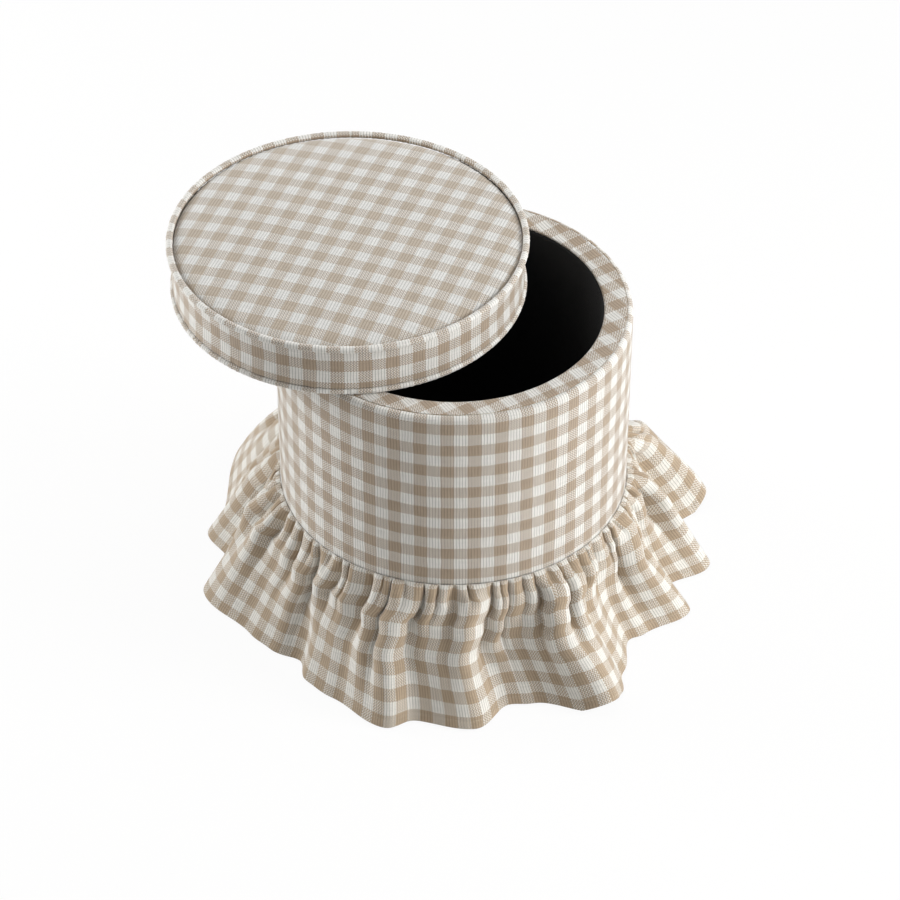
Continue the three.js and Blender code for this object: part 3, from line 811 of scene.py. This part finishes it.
flute_growth = 1 - (1 - fall) ** 1.8
level = skirt_top_radius + (mean_hem_radius - skirt_top_radius) * fall + flute_growth * hem_reach
wanted_angle = hem_angle - fine_angle[0] - cut_angle
wanted_angle = softened(wanted_angle, 0.02)
wanted_rate = (np.roll(wanted_angle, -1) - wanted_angle + whole_turn / skirt_columns) / step_round
depth = np.full(level.shape, 5 * mm)
for _ in range(40):
    radius = level + depth * folds
    slope = (np.roll(radius, -1, 1) - radius) / step_round
    flatness = softened(np.sqrt(np.maximum(0.02, 1 - slope**2)), 0.012)
    needed = np.clip(softened(level, 0.012) * wanted_rate, 0.05, 0.999)
    depth *= np.clip(np.sqrt((1 - needed**2) / np.maximum(1 - flatness**2, 1e-4)), 0.7, 1.4)
    depth = np.clip(softened(depth, 0.006), 0, deepest_gather * np.clip(1.25 - fall, 0, 1) ** 2) * (fall < 0.999)
tightness = np.clip(fallen / gathers_open_over, 0, 1)
held_depth = gather_depth_at_seam + (depth - gather_depth_at_seam) * (1 - (1 - tightness) ** 2)
turning = np.sqrt(np.maximum(0.02, 1 - ((np.roll(radius, -1, 1) - radius) / step_round) ** 2)) / radius * step_round
radius = level + np.minimum(depth, held_depth) * folds
radius = np.maximum(radius, drum_radius + off_the_drum) - sewn_in * np.exp(-fallen / sewn_in_over)
angle = np.concatenate([np.zeros((len(skirt_rows), 1)), np.cumsum(turning, 1)], 1)
angle = angle[:, :-1] * (whole_turn / angle[:, -1:])
drift = angle - (hem_angle - fine_angle[0])
angle = angle - drift.mean(1, keepdims=True) + fine_angle[0]

along_cloth = np.diff(skirt_rows)[:, None] * skirt_drop
aside = np.diff(radius, axis=0) ** 2 + (radius[1:] * np.diff(angle, axis=0)) ** 2
sinks = np.sqrt(np.maximum((0.25 * along_cloth) ** 2, along_cloth**2 - aside))
sinks = softened(sinks, 0.004)
skirt_top = skirt_seam - seam_gap
hem_reach_out = hem_reach + mean_hem_radius - skirt_top_radius
hem_height = np.maximum(hem_clearance, skirt_top - np.sqrt(skirt_drop**2 - hem_reach_out**2))
sinks = sinks * ((skirt_top - hem_height) / sinks.sum(0))
skirt_height = np.vstack([np.full(skirt_columns, skirt_top), skirt_top - np.cumsum(sinks, 0)])
from_seam = fallen / puff_over
puff = puff_height * np.clip(fold_wave(gathers, 0.9) + 0.2, 0, 1) * np.clip(small_size, 0.4, 1.3)
skirt_height += puff * from_seam * np.exp(1 - from_seam) + held_over_seam * np.exp(-from_seam)
from_hem = (1 - fall) * skirt_drop
stitch_dip = -0.35 * mm * np.exp(-(((from_hem - hem_depth) / (0.9 * mm)) ** 2))
hem_puff = 0.3 * mm * np.clip((hem_depth - from_hem) / (1.5 * mm), 0, 1)
radius = radius + stitch_dip + hem_puff
skirt_points = np.stack([radius * np.sin(angle), -radius * np.cos(angle), skirt_height], axis=-1)


def outward(points):
    """The outward direction at each point of a hanging cloth that runs once round."""
    round_way = np.roll(points, -1, 1) - np.roll(points, 1, 1)
    down_way = np.gradient(points, axis=0)
    out = np.cross(down_way, round_way)
    return out / np.maximum(np.linalg.norm(out, axis=-1, keepdims=True), 1e-12)


skirt_out = outward(skirt_points)
hem_rows = np.nonzero(row_drop > skirt_drop - hem_depth)[0][::-1]
fold_turn = 0.9 * mm
turned_up = [skirt_points[-1:] - fold_turn * skirt_out[-1:] + np.array([0, 0, -0.7 * fold_turn])]
turned_up += [skirt_points[k : k + 1] - 2 * fold_turn * skirt_out[k : k + 1] for k in hem_rows[1:]]
skirt_all = np.concatenate([skirt_points] + turned_up)
cloth_down = np.concatenate([row_drop, skirt_drop + np.arange(1, len(turned_up) + 1) * 1.5 * mm])
cloth_round = np.arange(skirt_columns + 1) * step_round
skirt = piece_of_rows("gathered_skirt", skirt_all, laid_out(cloth_round, cloth_down))
thicken(skirt, 0.8 * cloth_thickness)
# The skirt's yarns are warmer than the rest of the cloth: painted warm light, bounced between the folds.
skirt_gingham_painted_bounce = gingham("gingham_skirt", 4 * mm, 3 * mm, white=(237, 234, 226), beige=(184, 164, 139))
dressed(skirt, skirt_gingham_painted_bounce, "drum", "ruffle_skirt")

stitch_length = 3 * mm
thread_radius = 0.24 * mm
stitch_row = int(np.argmin(np.abs(row_drop - (skirt_drop - hem_depth))))
stitch_line = skirt_points[stitch_row] + 0.1 * mm * skirt_out[stitch_row]
stitch_out = skirt_out[stitch_row]
thread_vertices, thread_faces = [], []
for k in range(int(skirt_length / stitch_length)):
    ends = (k + 0.08) * stitch_length / step_round, (k + 0.86) * stitch_length / step_round
    ring_start = len(thread_vertices)
    for t, lift in ((0.0, -0.25), (0.2, 0.1), (0.8, 0.1), (1.0, -0.25)):
        place = ends[0] + (ends[1] - ends[0]) * t
        here, share = int(place) % skirt_columns, place - int(place)
        after = (here + 1) % skirt_columns
        spot = stitch_line[here] * (1 - share) + stitch_line[after] * share + lift * mm * stitch_out[here]
        for side in range(5):
            turn = whole_turn * side / 5
            up = np.array([0, 0, math.sin(turn)])
            thread_vertices.append(spot + thread_radius * (math.cos(turn) * stitch_out[here] + up))
    for ring in range(3):
        for side in range(5):
            a, b = ring_start + ring * 5 + side, ring_start + ring * 5 + (side + 1) % 5
            thread_faces.append((a, a + 5, b + 5, b))
    thread_faces.append(tuple(ring_start + side for side in range(5)))
    thread_faces.append(tuple(ring_start + 19 - side for side in range(5)))
thread_mesh = bpy.data.meshes.new("hem_stitching")
thread_mesh.from_pydata([tuple(v) for v in thread_vertices], [], thread_faces)
thread_mesh.shade_smooth()
stitching = in_scene("hem_stitching", thread_mesh)
thread, tree, shader = finish_of("cotton_thread", 0.7)
two_tones(tree, shader, noise(object_place(tree), 2500.0, 1.0), colour(176, 164, 146), colour(204, 196, 182))
thread_mesh.materials.append(thread)
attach(stitching, "drum")

# LID CUSHION, WITHIN
# The loose lid is a block of foam on a plywood board. A black cloth is stapled over the underside.
# The foam is cut with a crowned top, and it comes down round the edge of the board.
lid_place = np.array([-117.6 * mm, 40.6 * mm, 378.3 * mm])
pattern_turn = math.radians(-19.7)
lid_columns = 480
lid_angle = around(lid_columns)[0]
panel_radius = 193.9 * mm
panel_edge_height = 63.6 * mm
crown_height = 10 * mm
band_radius = 197.7 * mm
band_low, band_high = 7.3 * mm, 57.8 * mm


def crown_at(radius):
    """The height of the cushion's top above its underside, at a distance from its middle."""
    drawn_down = 2.2 * mm * np.clip(1 - (panel_radius - radius) / (15 * mm), 0, 1) ** 2
    return panel_edge_height + crown_height * (1 - (radius / panel_radius) ** 3) - drawn_down


_, board_radius, _, board_top = box_profile("lid_board")
board_top -= lid_place[2]
foam_radius = band_radius - 2.6 * mm
foam_low = band_low + seam_gap
block_radii = np.linspace(0, panel_radius - 3.5 * mm, 24)[1:]
block_profile = [(r, crown_at(r) - 2.3 * mm - 1.4 * mm * (r / panel_radius) ** 6) for r in block_radii]
block_profile += [(foam_radius - 2 * mm, band_high - 6 * mm), (foam_radius - 1.2 * mm, (band_low + band_high) / 2)]
block_profile += [(foam_radius, foam_low + 2 * mm), (foam_radius - 2 * mm, foam_low)]
block_profile += [(board_radius + seam_gap, foam_low), (board_radius + seam_gap, board_top + seam_gap)]
block_profile += [(r, board_top + seam_gap) for r in np.linspace(board_radius - 4 * mm, 10 * mm, 12)]
block_points = swept(block_profile, foam_points) + lid_place
foam_block = piece_of_rows("lid_foam_block", block_points, hubs="both")
dressed(foam_block, foam, "lid", "lid_foam")

underside_points = disc_points(board_radius, 0, 30, lining_columns)[::-1] + lid_place
underside = piece_of_rows("lid_underside_cloth", underside_points, plan_cut(underside_points, lid_place), hubs="last")
thicken(underside, 0.8 * cloth_thickness)
dressed(underside, black_cotton, "lid", "lid_underside")

# LID COVER
# A round panel of gingham, a side band and two lengths of covered cord (welts) are sewn into one cover.
# The seams draw the cloth into small puckers beside the cords, and the band is slightly hollow.
band_repeat = 30.35 * mm
band_roll = 0.9 * mm


def turned_edge(radius, height, roll, down):
    """The last few points where a cloth's edge rolls into its seam, as (radius, height) pairs."""
    steps = [(1 - math.cos(a), math.sin(a)) for a in np.linspace(math.pi / 2, 0, 5)]
    if down:
        steps = steps[::-1]
        return [(radius - roll * inward, height + roll - roll * fall) for inward, fall in steps]
    return [(radius - roll * inward, height - roll + roll * rise) for inward, rise in steps]


band_profile = turned_edge(band_radius, band_high, band_roll, False)
band_profile += [(band_radius, z) for z in np.linspace(band_high - 2.5 * mm, band_low + 2.5 * mm, 24)]
band_profile += turned_edge(band_radius, band_low, band_roll, True)
heights = np.array([p[1] for p in band_profile])[:, None]
hollow = -1.2 * mm * np.sin(np.pi * np.clip((heights - band_low) / (band_high - band_low), 0, 1))
near_top = np.clip(1 - (band_high - heights) / (16 * mm), 0, 1) ** 2
near_low = np.clip(1 - (heights - band_low) / (14 * mm), 0, 1) ** 2
puckers = (ripples(lid_angle, (67, 79, 91, 103), 31) - 0.8) * 0.35 * mm
low_puckers = (ripples(lid_angle, (57, 71, 83, 97), 32) - 0.8) * 0.3 * mm
band_wobble = hollow + near_top * puckers + near_low * low_puckers
band_wobble = band_wobble + ripples(lid_angle, (3, 5, 8, 13), 33) * 0.35 * mm - 0.3 * mm
band_points = swept(band_profile, lid_columns, band_wobble) + lid_place
band_cloth = flat_cut(band_points, band_radius * (check_repeat / band_repeat))
band_cloth[..., 1] = band_high + band_cloth[..., 1]
side_band = piece_of_rows("lid_band_cloth", band_points, band_cloth)
thicken(side_band, 0.9 * cloth_thickness)
dressed(side_band, gingham("gingham_lid_band", 7.6 * mm, 22.5 * mm), "lid", "lid_side_band")


def covered_cord(name, ring_radius, height, cord_radius, seed, degrees_apart):
    """A cord wrapped in cloth, as one ring. Fine creases cross it where the cloth is eased round.
    degrees_apart is how far round the lid one repeat of the gingham reaches."""
    around_cord = np.linspace(0, whole_turn, 20, endpoint=False) + math.pi
    profile = [(ring_radius + cord_radius * math.cos(a), height - cord_radius * math.sin(a)) for a in around_cord]
    columns = 1080
    crease_depth = 0.16 * mm
    creases = ripples(around(columns)[0], (131, 149, 167, 181, 211), seed) * crease_depth
    sections = np.array(profile) - (ring_radius, height)
    outwards = sections[:, :1] / cord_radius
    upwards = sections[:, 1:2] / cord_radius
    points = swept(profile, columns, creases * outwards - crease_depth * outwards)
    points[..., 2] += creases * upwards - crease_depth * upwards
    across = angle_edges(columns) * math.degrees(1) / degrees_apart * check_repeat
    round_cord = np.linspace(0, whole_turn, 21) * cord_radius
    return piece_of_rows(name, points + lid_place, laid_out(across, round_cord), closed_section=True)


top_welt = covered_cord("top_welt_cloth", 198.2 * mm, 62.1 * mm, 4 * mm, 34, 8.7)
dressed(top_welt, gingham("gingham_top_welt_cloth", 4.1 * mm, -9 * mm), "lid", "lid_top_welt")
bottom_welt = covered_cord("bottom_welt_cloth", 196.7 * mm, 3.5 * mm, 3.4 * mm, 35, 8.85)
bottom_gingham = gingham("gingham_bottom_welt_cloth", 7.1 * mm, -9 * mm)
dressed(bottom_welt, bottom_gingham, "lid", "lid_bottom_welt")

panel_rows = np.concatenate([np.linspace(0, 0.86, 34)[1:], np.linspace(0.86, 0.99, 14)[1:], [0.995, 1.0]])
panel_profile = [(panel_radius * s, crown_at(panel_radius * s)) for s in panel_rows]
from_edge = (1 - panel_rows[:, None]) * panel_radius
edge_pull = np.clip(1 - from_edge / (15 * mm), 0, 1) ** 2
panel_lift = edge_pull * (ripples(lid_angle, (73, 89, 97, 113), 36) - 1) * 0.32 * mm
open_seam = 0.9 + 0.8 * np.clip(np.abs(np.sin(lid_angle)) * 1.5 - 0.5, 0, 1)
panel_lift = panel_lift - open_seam * mm * np.clip(1 - from_edge / (3.5 * mm), 0, 1) ** 2
panel_lift = panel_lift + ripples(lid_angle, (2, 3, 5), 37) * 0.4 * mm * panel_rows[:, None] ** 2 - 0.4 * mm
panel_points = swept(panel_profile, lid_columns)
panel_points[..., 2] += panel_lift
panel_points += lid_place
panel_cloth = plan_cut(panel_points, lid_place, pattern_turn)
top_panel = piece_of_rows("lid_panel_cloth", panel_points, panel_cloth, hubs="first")
thicken(top_panel, 0.9 * cloth_thickness)
# The panel's yarns have a duller white and a paler beige than the rest of the cover: painted sheen from the light
# washing over the top.
lid_gingham_painted_sheen = gingham("gingham_lid_panel_painted_sheen", 2.9 * mm, 20 * mm, white=(226, 225, 221), beige=(187, 173, 155))
dressed(top_panel, lid_gingham_painted_sheen, "lid", "lid_top_panel")

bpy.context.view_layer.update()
